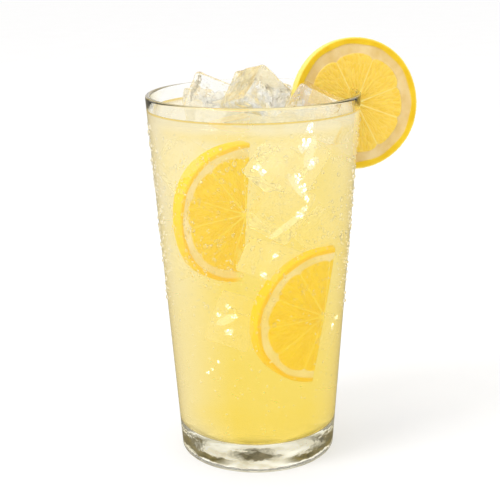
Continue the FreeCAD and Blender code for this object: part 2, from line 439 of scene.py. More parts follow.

# %% [markdown]
# Soda glass is nearly colourless, but a thick floor shows its faint green, because the light runs a
# long way through it. A very low bump makes the wall a little uneven. A real wall bends the dark parts
# of a room into its edges. Here a painted tint that deepens at a slant, and more on the rim, stands for
# these dark reflections, and a darker painted shade lies where the foot meets the ground.

# %% glass finish
clear_glass = new_material("clear_glass")
slow_ripple = uneven(clear_glass, 0.022, 1.0, (1, 1, 0.5))
_, _, _, z = where(clear_glass)
in_foot = spread(clear_glass, z, 11 * MM, 14 * MM, 1.0, 0.0)
in_rim = spread(clear_glass, z, HEIGHT - 4 * MM, HEIGHT - 2 * MM)
# Painted shade: a darker tint on the lowest two millimetres, where the foot meets the ground.
painted_ground_shade = spread(clear_glass, z, 0.3 * MM, 2.0 * MM, 0.7, 0.0)
# Painted reflections: the tint darkens at a slant, more on the rim, for the dark parts of the room.
slant = node(clear_glass, "ShaderNodeLayerWeight", Blend=0.5).outputs["Facing"]
slant = calc(clear_glass, "MULTIPLY", slant, calc(clear_glass, "MULTIPLY_ADD", in_rim, 0.15, 0.82))
painted_edge_dark = ramp(clear_glass, slant, (0.45, 254, 255, 253), (0.62, 249, 242, 216),
                 (0.8, 240, 226, 176), (0.95, 204, 186, 124), (1.0, 150, 130, 72))
painted_edge_dark = blend(clear_glass, painted_ground_shade, painted_edge_dark, paint(178, 168, 134))
foot_ripple = calc(clear_glass, "MULTIPLY", uneven(clear_glass, 0.005), in_foot)
ripples = node(clear_glass, "ShaderNodeBump", Height=foot_ripple, Strength=0.6, Distance=0.0006,
               Normal=bump(clear_glass, slow_ripple, 0.12, 0.0004)).outputs["Normal"]
finish_clear(clear_glass, (0.985, 0.985, 0.98, 1), Base_Color=painted_edge_dark, IOR=1.5,
             Transmission_Weight=1.0, Specular_IOR_Level=0.15, Normal=ripples)
give_out(clear_glass, node(clear_glass, "ShaderNodeVolumeAbsorption", Color=(0.60, 0.62, 0.45, 1),
                           Density=5.0), "Volume")
add_piece("tumbler", glass_mesh, clear_glass, "clear_glass", "glass")

# %% [markdown]
# A thick foot bends the white and the dark parts of a room into bold marks. Traced, they would need
# that room built round the glass. So they are painted, as reflections, on a thin disc of their own, let
# into the roof of the hollow: white, with one dark mark before the middle and one at each side near the
# edge. The disc glows a little, painted light, so that its white stays bright. A disc with air above it
# would be hidden by the mirror of that roof.


# %% painted foot reflections
DISC = 0.3 * MM


def reflection_disc_profile():
    """A disc of revolution, half its thickness in the roof of the hollow and half below it."""
    across = np.linspace(0, RECESS_RADIUS, 40)
    roof = hollow_roof(across) + DISC / 2
    top = beside(across, roof)[::-1]
    under = beside(across, np.maximum(roof - DISC, 0.02 * MM))
    return np.vstack([under[:-1], top])


def length_share(home, vector):
    """Length of a vector as a share of the disc's radius, with a wandering edge."""
    length = node(home, "ShaderNodeVectorMath", {"operation": "LENGTH"}, _0=vector).outputs["Value"]
    wander = calc(home, "MULTIPLY_ADD", uneven(home, 0.009, 3.0), 0.010, -0.005)
    return length, calc(home, "DIVIDE", calc(home, "ADD", length, wander), RECESS_RADIUS)


foot_reflections = new_material("painted_foot_reflections")
place, x, _, _ = where(foot_reflections)
from_centre, ring = length_share(foot_reflections, place)
before = node(foot_reflections, "ShaderNodeVectorMath", _0=place, _1=(0.0, 7.0 * MM, 0.0)).outputs["Vector"]
_, spot = length_share(foot_reflections, before)
aside = calc(foot_reflections, "DIVIDE", calc(foot_reflections, "ABSOLUTE", x), from_centre)
white, none = (255, 255, 255), (0, 0, 0)
inner = ramp(foot_reflections, spot, (0.20, *white), (0.36, *none))
outer = ramp(foot_reflections, ring, (0.60, *none), (0.72, *white), (0.90, *white), (0.96, *none))
outer = calc(foot_reflections, "MULTIPLY", outer, spread(foot_reflections, aside, 0.4, 0.7))
dark = mottled(foot_reflections, 0.004, paint(8, 8, 6), paint(112, 104, 88))
olive = mottled(foot_reflections, 0.004, paint(22, 18, 4), paint(118, 106, 62))
pale = mottled(foot_reflections, 0.008, paint(196, 190, 172), paint(255, 254, 250))
marks = blend(foot_reflections, outer, blend(foot_reflections, inner, pale, dark), olive)
# Painted reflections: the white and dark marks glow a little, painted light.
finish_surface(foot_reflections, Base_Color=marks, Roughness=0.4, Emission_Color=marks, Emission_Strength=0.5)
add_piece("foot_reflection_disc", revolve("foot_reflection_disc", reflection_disc_profile(), 96), foot_reflections, "clear_glass")

# %% [markdown]
# ## The lemonade
# Lemonade is water made cloudy by fine pulp. What lies against the wall shows clearly, and what lies
# a few centimetres deep fades into a pale yellow glow. A scattering volume would do this, slowly. Mist
# gives the same fade sooner: it swallows a share of the light in each millimetre and gives back the
# same share as a glow in its own colour, painted light that stands for the light the pulp scatters. The
# drink is one closed piece of revolution that reaches just into the wall, so that no air shows between
# them, and its surface climbs the wall a little, as water does.


# %% the drink
CLIMB, REACH = 1.1 * MM, 1.6 * MM


def drink_profile():
    """From the middle of the drink's floor, out, up the wall a little inside the glass, and in over
    the surface. From the wall the surface falls as CLIMB * exp(-distance / REACH)."""
    corner = floor_corner(FLOOR_ROUND + INTO_WALL, -90, -4)
    away = np.linspace(0, 1, 14) ** 1.6 * 8 * MM
    edge = beside(inside(LEVEL) + INTO_WALL - away, LEVEL + CLIMB * np.exp(-away / REACH))
    side = straight(corner[-1], edge[0], 30)
    floor_out = straight((0, FLOOR - INTO_WALL), corner[0], 8)
    surface = straight(edge[-1], (0, LEVEL), 12)
    return np.vstack([[[0, FLOOR - INTO_WALL]], floor_out, corner, side, edge, surface, [[0, LEVEL]]])


def mist(home, colour, thin, thick):
    """Fills a piece with mist: in each metre it swallows a number of times the light and gives back as
    much as a glow of its own, painted light in deep yellow where it is thin and in colour where it is
    thick, along the lines that the eye follows. The number is thin in front, where the slices hang, and
    climbs to thick behind them, over the floor, where pulp settles, and under the surface, where fine
    bubbles gather. The slices stand turned by 30 degrees, so depth is y cos 30 - x sin 30, from the back
    of the upper slice, or of the lower one below and to the right. Above the lower one, where nothing
    hangs, it thickens sooner."""
    _, x, y, z = where(home)
    depth = calc(home, "SUBTRACT", calc(home, "MULTIPLY", y, 0.866), calc(home, "MULTIPLY", x, 0.5))
    above_lower = spread(home, z, 86 * MM, 100 * MM)
    with_upper = most(home, above_lower, spread(home, x, -1 * MM, -9 * MM))
    start = spread(home, with_upper, 0.0, 1.0, -24 * MM, -2 * MM)
    behind = spread(home, calc(home, "SUBTRACT", depth, start), 0.0, 6 * MM)
    right = calc(home, "MINIMUM", spread(home, x, 0.0, 8 * MM), above_lower)
    right = calc(home, "MINIMUM", right, spread(home, y, -18 * MM, -4 * MM))
    settled = spread(home, z, FLOOR, FLOOR + 16 * MM, 1.0, 0.0)
    foam = spread(home, z, LEVEL - 8 * MM, LEVEL - 2 * MM)
    cover = most(home, behind, right, settled, foam)
    seen = calc(home, "SUBTRACT", 1.0, lamp_light(home))
    amount = calc(home, "MULTIPLY", seen, spread(home, cover, 0.0, 1.0, thin, thick))
    swallow = node(home, "ShaderNodeVolumeAbsorption", Color=(0, 0, 0, 1), Density=amount)
    # Painted light: the mist glows by as much as it swallows.
    give = node(home, "ShaderNodeEmission", Strength=amount,
                Color=blend(home, cover, paint(255, 228, 96), colour))
    give_out(home, node(home, "ShaderNodeAddShader", _0=swallow.outputs[0], _1=give.outputs[0]), "Volume")


def drink_colour(home):
    """Paler near the top, where more ice has melted, and towards the right, richer near the floor, with
    slow cloudy patches. Paler towards the left as painted light, on the side the lamp lights."""
    place, x, _, z = where(home)
    noise = node(home, "ShaderNodeTexNoise", Vector=place, Scale=1 / 0.028, Detail=3.0).outputs[0]
    cloud = spread(home, noise, 0.3, 0.7, -0.16, 0.16)
    height = calc(home, "ADD", spread(home, z, FLOOR, LEVEL), cloud)
    rich = ramp(home, height, (0.0, 253, 232, 134), (0.4, 253, 233, 140),
                (0.7, 254, 238, 170), (0.9, 255, 243, 202), (1.0, 255, 248, 226))
    # Painted light: paler on the left, where the lamp stands.
    painted_light_left = calc(home, "SMOOTH_MIN", spread(home, x, -8 * MM, -36 * MM), 0.6, 0.1)
    right = spread(home, x, 20 * MM, 40 * MM, 0.0, 0.55)
    return blend(home, calc(home, "ADD", painted_light_left, right), rich, paint(255, 246, 222))


cloudy = new_material("lemonade")
lemon_yellow = drink_colour(cloudy)
_, _, _, z = where(cloudy)
collar = spread(cloudy, z, LEVEL + 0.15 * MM, LEVEL + 0.6 * MM)
finish_clear(cloudy, (0.50, 0.47, 0.38, 1), IOR=1.34, Transmission_Weight=0.98, Specular_IOR_Level=0.1,
             Base_Color=blend(cloudy, collar, lemon_yellow, paint(240, 204, 96)))
mist(cloudy, lemon_yellow, thin=4.5, thick=150.0)
cloudy.cycles.volume_step_rate = 0.5
add_piece("drink", revolve("drink", drink_profile(), 160), cloudy, "lemonade", "lemonade")

# %% [markdown]
# ## Lemon
# A lemon slice has three rings: the zest, thin and oily, the white pith, and eight or nine segments
# of juice sacs, held between membranes that meet near the middle. One function draws the wheel on the
# rim and the two half slices. It turns a walk from the middle of the front, over the edge, to the
# middle of the back round the centre. Zest, membranes and sacs push the surface in and out, and the
# same masks are stored on the points as colours, so that colour always sits exactly on its relief.
# The wheel is drawn whole: the wall of the glass runs through it, where a real one is slit.


# %% masks of a lemon slice
SAC_LENGTH, SACS_ROUND = 3.4 * MM, 96


def lemon_masks(radius, angle, spec, seed):
    """Shares from 0 to 1 of pith, zest and membrane, and the pattern of the juice sacs. A membrane is
    where |sin(angle - joint)| * radius is small, and the other masks are steps of the radius."""
    wobble = 0.012 * np.sin(3 * angle + seed) + 0.01 * np.sin(7 * angle + 2 * seed)
    pulp_edge = spec["pulp"] * (1 + wobble)
    joints = np.radians(np.array(spec["membranes"], float))
    turn = (angle[..., None] - joints + np.pi) % (2 * np.pi) - np.pi
    off_line = (np.abs(np.sin(turn)) * radius[..., None] + 99.0 * (np.abs(turn) > 1.5)).min(-1)
    widen = (0.2 + 0.6 * np.exp(-radius / (2.2 * MM))) * MM
    membrane = 1 - step(widen * 0.45, widen * 1.5, off_line)
    # The outer corners of a segment are round: the pulp edge draws in beside each membrane.
    round_in = 1.4 * MM * np.exp(-off_line / (1.4 * MM))
    pith = step(pulp_edge - round_in - 0.25 * MM, pulp_edge - round_in + 0.35 * MM, radius)
    membrane = np.maximum(membrane * (1 - pith), 0)
    zest = step(spec["zest"] - 0.35 * MM, spec["zest"] + 0.35 * MM,
                radius + 0.18 * MM * np.sin(11 * angle + seed))
    # Juice sacs: long cells that point at the middle, finer towards it.
    along = radius / SAC_LENGTH + 0.25 * np.sin(9 * angle)
    near, second, own = cells(along, angle / (2 * np.pi) * SACS_ROUND, seed, wrap=SACS_ROUND)
    sac = np.clip((second - near) * 1.6, 0, 1)
    core = 1 - step(0.7 * MM, 1.9 * MM, radius)
    return pith, zest, np.maximum(membrane, core), sac, own


def lemon_relief(masks):
    """How far the cut face stands out: sacs bulge, membranes and zest stand proud, pith sinks."""
    pith, zest, membrane, sac, own = masks
    pulp = (1 - pith) * (1 - membrane)
    height = 0.28 * pulp * sac ** 0.7 + 0.14 * pulp * own + 0.20 * membrane * (1 - pith)
    return (height - 0.22 * pith * (1 - zest) + 0.10 * zest) * MM


# %% [markdown]
# The rim of the slice is the skin of the lemon, pitted with oil glands, about one in each square
# millimetre. They are cells again, unrolled along the edge.


# %% the slice itself
PIT = 1.0 * MM


def slice_profile(spec):
    """Radius and y of a walk from the middle of the front, over the rounded edge, to the middle of the
    back: flat faces, a quarter arc at each corner and the skin between them."""
    edge, rounding, deep = spec["radius"], spec["rounding"], spec["thickness"] / 2
    flat = edge - rounding
    front = np.linspace(0, 1, spec["rows"]) ** 0.9 * flat
    quarter = np.radians(np.linspace(0, 90, 5))[1:]
    bend, rest = rounding * np.sin(quarter), rounding * np.cos(quarter)
    side = np.linspace(rounding - deep, deep - rounding, 15)[1:]
    radius = np.concatenate([front, flat + bend, np.full(len(side), edge), flat + rest, front[::-1][1:]])
    depth = np.concatenate([np.full(len(front), -deep), rounding - deep - rest, side,
                            deep - rounding + bend, np.full(len(front) - 1, deep)])
    return radius, depth


def lemon_slice(spec, half, seed):
    """A slice in the XZ plane facing -Y, as rows along its profile and columns round its centre.
    Row s, column a: the profile's (radius, y) turned by a, then moved by the relief."""
    edge, rounding, columns = spec["radius"], spec["rounding"], spec["columns"]
    radius, depth = slice_profile(spec)
    if half:
        turn = np.linspace(np.pi / 2, 3 * np.pi / 2, columns)
    else:
        turn = np.arange(columns) * 2 * np.pi / columns
    ring, angle = np.meshgrid(radius, turn, indexing="ij")
    masks = lemon_masks(ring, angle, spec, seed)
    relief = lemon_relief(masks)
    # Oil pits on the skin, and a slow unevenness of its outline.
    near, _, _ = cells(depth[:, None] / PIT + 40 + 0 * angle, angle * edge / PIT, seed + 1)
    skin = step(edge - 0.9 * rounding, edge - 0.1 * rounding, ring)
    pit = skin * (1 - step(0.1, 0.55, near)) * 0.16 * MM
    outline = 0.0035 * np.sin(2 * angle + seed) + 0.003 * np.sin(5 * angle + 2 * seed) - 0.006
    out = ring - pit + outline * edge * step(0.3 * edge, edge, ring)
    face = np.where(depth < 0, -1.0, 1.0)[:, None] * (1 - skin)
    y = depth[:, None] + face * (relief - 0.35 * MM)
    points = beside(out * np.cos(angle), y, out * np.sin(angle))
    colour = beside(*masks[:3], 1.0)
    sacs = beside(*masks[3:], skin, 1.0)
    quads = grid_quads(len(radius), columns, closed=not half)
    if half:
        # The cut: front and back rows of the same radius are joined along both ends of the half turn.
        low = np.arange(len(radius) // 2)
        high = len(radius) - 1 - low
        for column in (0, columns - 1):
            strip = beside(low[:-1], low[1:], high[1:], high[:-1])
            quads = np.vstack([quads, strip * columns + column])
    return points.reshape(-1, 3), quads, colour.reshape(-1, 4), sacs.reshape(-1, 4)


# %% [markdown]
# All columns of a slice meet at its middle, so the points there are merged before the mesh is made, and
# the stored masks keep one value for each point that is left.


# %% placing a slice
def store(mesh, name, values):
    """Stores one colour per point on a mesh."""
    layer = mesh.color_attributes.new(name, "FLOAT_COLOR", "POINT")
    layer.data.foreach_set("color", np.asarray(values, np.float32).ravel())


def turned(points, turn, tip, roll, centre):
    """Points rolled about X, tipped about Y, turned about Z, in degrees, then moved to centre in mm."""
    turning = np.array(Euler(np.radians([roll, tip, turn]), "XYZ").to_matrix())
    return points @ turning.T + np.asarray(centre) * MM


def weld(points, quads, *layers):
    """Merges the points at the centre and drops quads that became lines, keeping the layers."""
    keys = np.round(points / 2e-7).astype(np.int64)
    _, first, back = np.unique(keys, axis=0, return_index=True, return_inverse=True)
    quads = np.ravel(back)[quads]
    same = quads == np.roll(quads, -1, axis=1)
    whole = quads[~same.any(1)]
    bent = quads[same.sum(1) == 1]
    keep = ~same[same.sum(1) == 1]
    triangles = bent[np.arange(len(bent))[:, None], np.argsort(~keep, axis=1, kind="stable")[:, :3]]
    return points[first], whole, triangles, [layer[first] for layer in layers]


def lemon_piece(name, spec, half, seed, place, finish, *stands_for):
    """Draws a slice, places it and stores its masks."""
    points, quads, colour, sacs = lemon_slice(spec, half, seed)
    points, quads, triangles, (colour, sacs) = weld(points, quads, colour, sacs)
    mesh = make_mesh(name, turned(points, *place), quads, triangles)
    store(mesh, "rings", colour)
    store(mesh, "sacs", sacs)
    add_piece(name, outward(mesh, merge=False), finish, "lemon", *stands_for)


# %% [markdown]
# Lemon flesh is wet and lets light into it. Subsurface light gives part of that glow, and a faint glow
# painted into the surface gives the rest. The colour is mixed from the stored masks: pulp, a paler line
# where sacs and segments part, pith and zest, each with its own small variation.


# %% lemon colours as a group
NAMES = ("Pulp Deep", "Pulp", "Seam", "Membrane", "Pith Deep", "Pith", "Zest Deep", "Zest", "Skin")
lemon_rings, given, result = new_group(
    "lemon_rings", [(name, "NodeSocketColor", (1.0, 1.0, 1.0, 1.0)) for name in NAMES],
    [("Color", "NodeSocketColor")])
rings = node(lemon_rings, "ShaderNodeVertexColor", {"layer_name": "rings"}).outputs["Color"]
pith, zest, membrane = node(lemon_rings, "ShaderNodeSeparateColor", _0=rings).outputs
sacs = node(lemon_rings, "ShaderNodeVertexColor", {"layer_name": "sacs"}).outputs["Color"]
sac, own, skin = node(lemon_rings, "ShaderNodeSeparateColor", _0=sacs).outputs
pulp = blend(lemon_rings, own, given["Pulp Deep"], given["Pulp"])
pulp = blend(lemon_rings, spread(lemon_rings, sac, 0.0, 0.45, 0.35, 0.0), pulp, given["Seam"])
pulp = blend(lemon_rings, membrane, pulp, given["Membrane"])
blotch = spread(lemon_rings, uneven(lemon_rings, 0.006, 3.0), 0.3, 0.7)
white = blend(lemon_rings, blotch, given["Pith Deep"], given["Pith"])
peel = blend(lemon_rings, blotch, given["Zest Deep"], given["Zest"])
# The edge takes the skin colour, which holds a painted sheen on the fresh wheel.
peel = blend(lemon_rings, skin, peel, given["Skin"])
lemon_rings.links.new(blend(lemon_rings, zest, blend(lemon_rings, pith, pulp, white), peel),
                      result["Color"])


# %% lemon finishes and slices
def lemon_finish(name, palette, glow, depth, shine):
    """Wet, faintly see-through lemon with fine grain, and a faint painted glow."""
    material = new_material(name)
    colours = {part: paint(*colour) for part, colour in palette.items()}
    colour = node(material, "ShaderNodeGroup", {"node_tree": lemon_rings}, **colours).outputs["Color"]
    finish_surface(material, Base_Color=colour, Roughness=0.36, Subsurface_Weight=depth,
                   Subsurface_Radius=(1.0, 0.8, 0.3), Subsurface_Scale=0.002, Emission_Color=colour,
                   Emission_Strength=glow, Specular_IOR_Level=shine,
                   Normal=bump(material, uneven(material, 0.0006), 0.3, 0.0001))
    return material


# The skin colour of the fresh wheel is lighter than its zest: a painted sheen on its rounded edge.
FRESH = dict(Pulp_Deep=(242, 201, 68), Pulp=(249, 211, 90), Seam=(250, 221, 124),
             Membrane=(250, 224, 132), Pith_Deep=(224, 190, 116), Pith=(238, 212, 154),
             Zest_Deep=(230, 188, 20), Zest=(240, 204, 44), Skin=(254, 230, 120))
SOAKED = dict(Pulp_Deep=(246, 205, 10), Pulp=(251, 214, 30), Seam=(252, 221, 60),
              Membrane=(253, 226, 90), Pith_Deep=(240, 216, 140), Pith=(248, 229, 180),
              Zest_Deep=(246, 196, 0), Zest=(250, 206, 0), Skin=(250, 208, 20))
# The glow of each lemon finish is painted light.
lemon = lemon_finish("lemon", FRESH, 0.03, 0.35, 0.2)
soaked_lemon = lemon_finish("soaked_lemon", SOAKED, 0.06, 0.15, 0.05)

WHEEL = dict(radius=27.8 * MM, thickness=6.5 * MM, rounding=1.0 * MM, pulp=20.8 * MM, zest=24.9 * MM,
             membranes=(115, 66, 18, -21, -64, -110, -155, 160), rows=88, columns=420)
SLICE = dict(radius=30.0 * MM, thickness=6.5 * MM, rounding=1.0 * MM, pulp=25.1 * MM, zest=28.0 * MM,
             membranes=(95, 128, 160, 190, 222, 258, 300, 20), rows=84, columns=240)
lemon_piece("rim_wheel", WHEEL, False, 5, (14, 0, -8, (42.93, 14.53, 148.9)), lemon, "lemon_wheel")
lemon_piece("upper_half_slice", SLICE, True, 6, (30, 0, 6, (-4.3, -7.2, 109.94)),
            soaked_lemon, "upper_slice")
lemon_piece("lower_half_slice", SLICE, True, 8, (30, 8, 6, (24.8, -16.7, 66.24)),
            soaked_lemon, "lower_slice")

# %% [markdown]
# ## Ice
# Ice from a tray melts at its corners first, so a cube in a drink has soft edges, shallow hollows in
# its faces and a wavy, glassy skin. Each cube starts as six square grids. Points near an edge are
# pulled onto a ball at the nearest inner corner, and slow waves then move every point a little.


# %% melted cubes
def cube_grid(count):
    """Points of six grids on the faces of a cube from -1 to 1, denser near the edges, and quads."""
    line = np.linspace(-1, 1, count)
    line = np.sin(line * np.pi / 2) * 0.6 + line * 0.4
    a, b = np.meshgrid(line, line, indexing="ij")
    sides = [(1, a, b), (-1, b, a), (b, 1, a), (a, -1, b), (a, b, 1), (b, a, -1)]
    points = np.concatenate([beside(*side).reshape(-1, 3) for side in sides])
    quads = np.concatenate([grid_quads(count, count) + i * count * count for i in range(6)])
    return points, quads


def melted_cube(edge, seed, count=34, rounding=0.16, hollow=0.07, waviness=0.03):
    """inner = point clipped to the inner box; point = inner + rounding * direction from inner; then
    hollows -(1-u^2)(1-v^2) on each face and two sizes of waves along the direction."""
    grid, quads = cube_grid(count)
    rng = np.random.default_rng(seed)
    inner = np.clip(grid, -(1 - rounding), 1 - rounding)
    direction = grid - inner
    direction /= np.linalg.norm(direction, axis=1, keepdims=True)
    points = inner + direction * rounding
    dent = np.prod(np.where(np.abs(direction) > 0.98, 1.0, 1 - inner ** 2 / (1 - rounding) ** 2), axis=1)
    depth = hollow * rng.uniform(0.3, 1.6, 6)
    axis = np.argmax(np.abs(direction), axis=1)
    side = axis * 2 + (np.take_along_axis(direction, axis[:, None], 1)[:, 0] > 0)
    slow, fast = waves(points, 1.1, seed), waves(points, 0.4, seed + 1)
    move = -dent * depth[side] + waviness * slow + 0.35 * waviness * fast
    skew = 1 + 0.05 * rng.uniform(-1, 1, 3)
    shaped = (points + direction * move[:, None]) * skew
    shaped *= min(1.0, 0.985 / np.abs(shaped).max())
    return shaped * edge / 2 * MM, quads


# %% [markdown]
# Clear ice bends light slightly less than water does. Its faces are clear, while its edges, seen at a
# slant, bend in the yellow of the drink around them; a tint painted to deepen at a slant stands for it.

# %% ice finish
frozen = new_material("ice")
ice_bumps = bump(frozen, uneven(frozen, 0.0035), 1.0, 0.0011)
grazing = node(frozen, "ShaderNodeLayerWeight", Blend=0.45, Normal=ice_bumps).outputs["Facing"]
# Painted reflection: yellow that deepens at a slant, for the drink bent in at the edges.
painted_slant_yellow = ramp(frozen, grazing, (0.3, 255, 255, 253), (0.5, 252, 240, 196),
                (0.8, 230, 190, 90))
finish_clear(frozen, Base_Color=painted_slant_yellow, IOR=1.31, Transmission_Weight=0.84,
             Normal=ice_bumps)
FLOATING = {  # edge in mm, then turn, tip, roll and centre
    "ice_left": (20, -6, 22, -10, (-17.6, 5.9, 151.8)),
    "ice_middle": (20, 28, 43, -22, (1.0, -12.2, 155.2)),
    "ice_right": (20, 12, 12, -6, (4.2, 13.8, 150.0)),
    "ice_front": (20, -12, 27, -6, (24.3, -5.0, 148.6)),
    "ice_chip": (15, 44, 6, 8, (-21.8, 23.0, 146.5)),
}
for seed, (name, (edge, *place)) in enumerate(FLOATING.items()):
    points, quads = melted_cube(edge, seed + 3)
    cube = outward(make_mesh(name, turned(points, *place), quads))
    add_piece("melting_" + name, cube, frozen, "ice", name)

# %% [markdown]
# Water freezes from the outside in, so the air it held ends up in the middle, as a cloud of bubbles
# too fine to see one by one. A few soft white blobs in each cube stand for it, clear where they are
# seen at a slant, so that they have no outline, and glowing a little as painted light.


# %% white hearts
def hearts():
    """Small overlapping blobs near the middle of each floating cube."""
    rng = np.random.default_rng(17)
    blobs, centres, sizes = 14, [], []
    for edge, *place in FLOATING.values():
        spots = rng.normal(0, 0.16, (blobs, 3)).clip(-0.28, 0.28) * edge
        centres.append(turned(spots * MM, *place))
        sizes.append(rng.uniform(0.05, 0.13, blobs) * edge * MM)
    centres, sizes = np.vstack(centres), np.concatenate(sizes)
    frames = np.eye(3)[None] * sizes[:, None, None] * rng.uniform(0.7, 1.3, (len(sizes), 3))[:, :, None]
    return scatter("white_hearts", centres, frames, rings=9, segments=14, rough=0.22, seed=18)


def soft_white(name, colour, strongest, glow):
    """White that glows a little, as painted light, and fades out where the surface is seen at a slant."""
    material = new_material(name)
    slant = node(material, "ShaderNodeLayerWeight", Blend=0.5).outputs["Facing"]
    tone = mottled(material, 0.0012, tuple(0.86 * part for part in colour[:3]) + (1.0,), colour)
    finish_surface(material, Base_Color=tone, Roughness=0.3, Emission_Color=tone,
                   Alpha=spread(material, slant, 0.0, 0.85, strongest, 0.0), Emission_Strength=glow)
    return material


# %% [markdown]
# More ice has sunk or is held under by the rest. Through the mist only its near corners show, as
# paler shapes near the wall. Their number for bending light, 1.11, is made up: it keeps them soft.

# %% sunk ice
SUNK = [  # edge mm, degrees round from the front, height mm, gap to the wall mm, turn, tip, roll
    (19, 30, 134, 1.5, 20, 30, 12), (20, 22, 113, 2.0, -14, 32, 20), (16, 17, 130, 5.0, 35, 15, 30),
    (17, 12, 92, 2.5, 40, 24, 8), (18, -20, 66, 2.0, 12, 20, 35), (18, -66, 130, 2.0, 33, 38, 5),
    (16, 64, 58, 1.5, 22, 28, 18), (18, 70, 100, 2.0, 5, 18, 40), (17, -75, 92, 2.0, 30, 30, 10),
    (19, 130, 120, 2.0, 10, 30, 25), (18, 175, 85, 2.0, 44, 22, 15), (19, -130, 118, 2.0, 20, 18, 33),
    (17, 115, 60, 2.0, 15, 33, 12), (18, -150, 55, 2.0, 38, 12, 22), (18, 160, 132, 2.0, 28, 35, 8)]


def on_wall(azimuth, height, radius):
    """Places on a circle of radius at each height, azimuth radians right of the front."""
    return beside(radius * np.sin(azimuth), -radius * np.cos(azimuth), height)


def sunk_ice():
    """All sunk cubes as one set of points and quads."""
    all_points, all_quads = [], []
    for seed, (edge, azimuth, height, gap, turn, tip, roll) in enumerate(SUNK):
        points, quads = melted_cube(edge, seed + 30, count=20)
        centre = on_wall(math.radians(azimuth), height, inside(height * MM) / MM - (gap + edge * 0.62))
        all_points.append(turned(points, azimuth + turn, tip, roll, centre))
        all_quads.append(quads + seed * len(points))
    return np.vstack(all_points), np.vstack(all_quads)


sunk = new_material("sunk_ice")
finish_clear(sunk, Base_Color=paint(255, 251, 228), IOR=1.11, Transmission_Weight=0.86,
             Normal=bump(sunk, uneven(sunk, 0.005), 0.5, 0.0006))
add_piece("sunk_ice", outward(make_mesh("sunk_ice", *sunk_ice())), sunk, "ice")

# %% [markdown]
# ## Sparkles, pulp and droplets
# Small things come in hundreds, so each is a ball of few faces. One function places them all at once:
# every copy gets a frame of three directions, and the ball's points are multiplied by it.


# %% many small balls
def ball(rings, segments):
    """A unit ball as rings of points with two poles, its quads and triangles."""
    down = np.linspace(0, np.pi, rings + 2)[1:-1]
    angle = np.arange(segments) * 2 * np.pi / segments
    ring, around = np.meshgrid(down, angle, indexing="ij")
    points = beside(np.sin(ring) * np.cos(around), np.sin(ring) * np.sin(around), np.cos(ring))
    points = np.vstack([points.reshape(-1, 3), [0, 0, 1], [0, 0, -1]])
    quads, triangles = tube_faces(rings, segments)
    return points, quads[:, ::-1], triangles[:, ::-1]


def scatter(name, centres, frames, rings, segments, rough=0.0, seed=0):
    """A mesh of one ball for each centre. frames holds three scaled directions for each."""
    points, quads, triangles = ball(rings, segments)
    count = len(centres)
    shape = np.repeat(points[None], count, 0)
    if rough:
        shape = shape * (1 + rough * np.random.default_rng(seed).uniform(-1, 1, shape.shape[:2]))[..., None]
    placed = np.einsum("nij,nki->nkj", frames, shape) + centres[:, None]
    shift = (np.arange(count) * len(points))[:, None, None]
    return outward(make_mesh(name, placed.reshape(-1, 3), (quads[None] + shift).reshape(-1, 4),
                             (triangles[None] + shift).reshape(-1, 3)))


def wall_frames(azimuth, across, upward, outwards, twist):
    """Scaled directions along the wall, up the wall and out of it, turned by twist in the wall."""
    side = beside(np.cos(azimuth), np.sin(azimuth), 0.0)
    out, up = beside(np.sin(azimuth), -np.cos(azimuth), 0.0), np.array([0.0, 0.0, 1.0])
    c, s = np.cos(twist)[:, None], np.sin(twist)[:, None]
    return np.stack([(c * side + s * up) * across[:, None], (c * up - s * side) * upward[:, None],
                     out * outwards[:, None]], 1)


# %% [markdown]
# Chilled glass gathers dew: small caps on the outside, from below the middle of the glass up to near
# the rim, a few of them larger. Each is a ball cut half into the wall. Water bends light by 1.33, and
# 1.15 is used, so that hundreds of drops don't hide what lies behind them.

# %% dew
def dew():
    """Flattened balls, centred on the outer wall."""
    rng, count = np.random.default_rng(12), 2700
    azimuth = rng.uniform(0, 2 * np.pi, count)
    height = (0.40 + 0.53 * rng.beta(1.6, 1.3, count)) * HEIGHT
    size = rng.lognormal(math.log(0.38), 0.4, count).clip(0.16, 0.95) * MM
    centres = on_wall(azimuth, height, outside(height))
    frames = wall_frames(azimuth, size, size * rng.uniform(0.95, 1.4, count), size * 0.85,
                         rng.normal(0, 0.15, count))
    return scatter("dew", centres, frames, rings=4, segments=8)


water = new_material("dew")
finish_clear(water, Base_Color=WHITE, IOR=1.15, Transmission_Weight=1.0,
             Normal=bump(water, uneven(water, 0.0009), 0.15, 0.0002))
add_piece("dew", dew(), water, "clear_glass")

# %% [markdown]
# Where ice presses on the wall, its corners and the air round them throw back the white of the room.
# Each such sparkle is a painted highlight: a few small glowing flakes just inside the glass, and its
# soft halo a few larger ones. Real light would need far finer ice than this.

